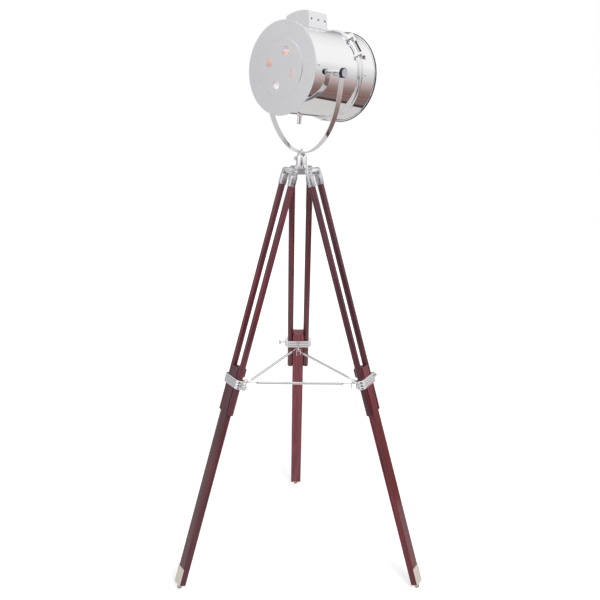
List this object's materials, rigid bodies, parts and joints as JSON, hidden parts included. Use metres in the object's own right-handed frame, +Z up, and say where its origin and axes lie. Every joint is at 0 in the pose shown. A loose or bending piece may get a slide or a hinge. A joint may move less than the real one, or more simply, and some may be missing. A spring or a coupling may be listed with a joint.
{
  "type": "floor lamp",
  "caption": "Tripod floor lamp with a polished spotlight drum in a tilting yoke on folding, extending wooden legs joined by spreader rods.",
  "frame": {"origin": "centre of the bounding box's bottom face, on the floor under the tripod", "axes": "+Z up, +Y the way the lamp head points, +X to the head's right seen from behind"},
  "size_m": [0.7392, 0.7448, 1.7002],
  "materials": {
    "chrome": "polished",
    "satin_steel": "satin",
    "dark_wood": "satin varnish",
    "dark_steel": "semi-matt",
    "black_rubber": "matt",
    "reflector_aluminium": "satin",
    "holder_plastic": "matt",
    "bulb_glass": "frosted",
    "lens_glass": "clear"
  },
  "bodies": {
    "hub": {"hub": "chrome", "hinge_bolts": "chrome"},
    "pan_lock": {"pan_lock_screw": "chrome"},
    "leg_1": {"ferrules_1": "chrome", "rods_1": "dark_wood", "clamp_1": "chrome", "eye_screw_1": "chrome"},
    "thumbscrew_1": {"thumbscrew_1": "chrome"},
    "lower_leg_1": {"lower_bar_1": "dark_wood", "stop_block_1": "dark_wood", "foot_plate_1": "satin_steel", "ball_foot_1": "chrome"},
    "spreader_1": {"spreader_1": "chrome"},
    "leg_2": {"ferrules_2": "chrome", "rods_2": "dark_wood", "clamp_2": "chrome", "eye_screw_2": "chrome"},
    "thumbscrew_2": {"thumbscrew_2": "chrome"},
    "lower_leg_2": {"lower_bar_2": "dark_wood", "stop_block_2": "dark_wood", "foot_plate_2": "satin_steel", "ball_foot_2": "chrome"},
    "spreader_2": {"spreader_2": "chrome"},
    "leg_3": {"ferrules_3": "chrome", "rods_3": "dark_wood", "clamp_3": "chrome", "eye_screw_3": "chrome"},
    "thumbscrew_3": {"thumbscrew_3": "chrome"},
    "lower_leg_3": {"lower_bar_3": "dark_wood", "stop_block_3": "dark_wood", "foot_plate_3": "satin_steel", "ball_foot_3": "chrome"},
    "spreader_3": {"spreader_3": "chrome"},
    "yoke": {"yoke_spigot": "chrome", "yoke_strap": "chrome", "yoke_bolt": "chrome"},
    "head": {"pivot_spacers": "chrome", "drum_shell": "chrome", "rear_plate": "satin_steel", "rear_boss": "satin_steel", "shell_screws": "chrome", "vent_box": "satin_steel", "vent_screws": "chrome", "switch_body": "chrome", "cord_inlet": "black_rubber", "reflector": "reflector_aluminium", "holder_bracket": "satin_steel", "lamp_holder": "holder_plastic", "bulb": "bulb_glass", "drum_hinge_leaves": "chrome", "hinge_pin": "dark_steel"},
    "knob_left": {"tilt_knob_left": "chrome"},
    "knob_right": {"tilt_knob_right": "chrome"},
    "switch_knob": {"switch_knob": "chrome"},
    "bezel": {"bezel_ring": "chrome", "bezel_hinge_leaves": "chrome", "bezel_screws": "chrome", "bezel_liner": "satin_steel", "glass": "lens_glass", "bezel_tab": "chrome"}
  },
  "joints": [
    {"name": "leg_1_fold", "type": "hinge", "parent": "hub", "child": "leg_1", "pos_m": [-0.01847, 0.05848, 1.26113], "axis": [-0.2453, 0.9694, 0], "range_deg": [0, 12]},
    {"name": "leg_1_extend", "type": "slide", "parent": "leg_1", "child": "lower_leg_1", "axis": [0.2859, 0.0724, -0.9555], "range_m": [-0.405, 0.0045]},
    {"name": "thumbscrew_1_turn", "type": "hinge", "parent": "leg_1", "child": "thumbscrew_1", "pos_m": [0.14967, 0.16292, 0.65008], "axis": [-0.2453, 0.9694, 0], "range_deg": [0, 360]},
    {"name": "spreader_1_swing", "type": "hinge", "parent": "leg_1", "child": "spreader_1", "pos_m": [0.12634, 0.09513, 0.63953], "axis": [-0.2484, -0.9687, 0], "range_deg": [0, 84]},
    {"name": "leg_2_fold", "type": "hinge", "parent": "hub", "child": "leg_2", "pos_m": [-0.08081, 0.07612, 1.26113], "axis": [-0.7169, -0.6972, 0], "range_deg": [0, 12]},
    {"name": "leg_2_extend", "type": "slide", "parent": "leg_2", "child": "lower_leg_2", "axis": [-0.2056, 0.2115, -0.9555], "range_m": [-0.405, 0.0045]},
    {"name": "thumbscrew_2_turn", "type": "hinge", "parent": "leg_2", "child": "thumbscrew_2", "pos_m": [-0.25532, 0.16952, 0.65008], "axis": [-0.7169, -0.6972, 0], "range_deg": [0, 360]},
    {"name": "spreader_2_swing", "type": "hinge", "parent": "leg_2", "child": "spreader_2", "pos_m": [-0.18494, 0.18321, 0.63953], "axis": [0.9631, 0.2692, 0], "range_deg": [0, 84]},
    {"name": "leg_3_fold", "type": "hinge", "parent": "hub", "child": "leg_3", "pos_m": [-0.06491, 0.01332, 1.26113], "axis": [0.9622, -0.2723, 0], "range_deg": [0, 12]},
    {"name": "leg_3_extend", "type": "slide", "parent": "leg_3", "child": "lower_leg_3", "axis": [-0.0803, -0.2838, -0.9555], "range_m": [-0.405, 0.0045]},
    {"name": "thumbscrew_3_turn", "type": "hinge", "parent": "leg_3", "child": "thumbscrew_3", "pos_m": [-0.05854, -0.18451, 0.65008], "axis": [0.9622, -0.2723, 0], "range_deg": [0, 360]},
    {"name": "spreader_3_swing", "type": "hinge", "parent": "leg_3", "child": "spreader_3", "pos_m": [-0.10558, -0.13041, 0.63953], "axis": [-0.7147, 0.6995, 0], "range_deg": [0, 84]},
    {"name": "pan_lock_turn", "type": "hinge", "parent": "hub", "child": "pan_lock", "pos_m": [-0.06572, 0.0391, 1.295], "axis": [-0.7325, -0.6807, 0], "range_deg": [0, 360]},
    {"name": "head_pan", "type": "hinge", "parent": "hub", "child": "yoke", "pos_m": [-0.05473, 0.04931, 1.307], "axis": [0, 0, 1], "continuous": true},
    {"name": "head_tilt", "type": "hinge", "parent": "yoke", "child": "head", "pos_m": [-0.05473, 0.04931, 1.5373], "axis": [1, 0, 0], "range_deg": [-38.3, 96.7]},
    {"name": "tilt_knob_left_turn", "type": "hinge", "parent": "head", "child": "knob_left", "pos_m": [-0.20473, 0.04931, 1.5373], "axis": [-1, 0, 0], "range_deg": [0, 360]},
    {"name": "tilt_knob_right_turn", "type": "hinge", "parent": "head", "child": "knob_right", "pos_m": [0.09527, 0.04931, 1.5373], "axis": [1, 0, 0], "range_deg": [0, 360]},
    {"name": "switch_turn", "type": "hinge", "parent": "head", "child": "switch_knob", "pos_m": [-0.05473, 0.03911, 1.4076], "axis": [0, -0.1167, -0.9932], "range_deg": [0, 90]},
    {"name": "bezel_open", "type": "hinge", "parent": "head", "child": "bezel", "pos_m": [0.04485, 0.1688, 1.6074], "axis": [0.6428, -0.0894, -0.7608], "range_deg": [0, 95]}
  ],
  "couplings": [
    {"joint": "spreader_1_swing", "follows": "leg_1_fold", "ratio": 7},
    {"joint": "leg_2_fold", "follows": "leg_1_fold", "ratio": 1},
    {"joint": "spreader_2_swing", "follows": "leg_1_fold", "ratio": 7},
    {"joint": "leg_3_fold", "follows": "leg_1_fold", "ratio": 1},
    {"joint": "spreader_3_swing", "follows": "leg_1_fold", "ratio": 7}
  ]
}
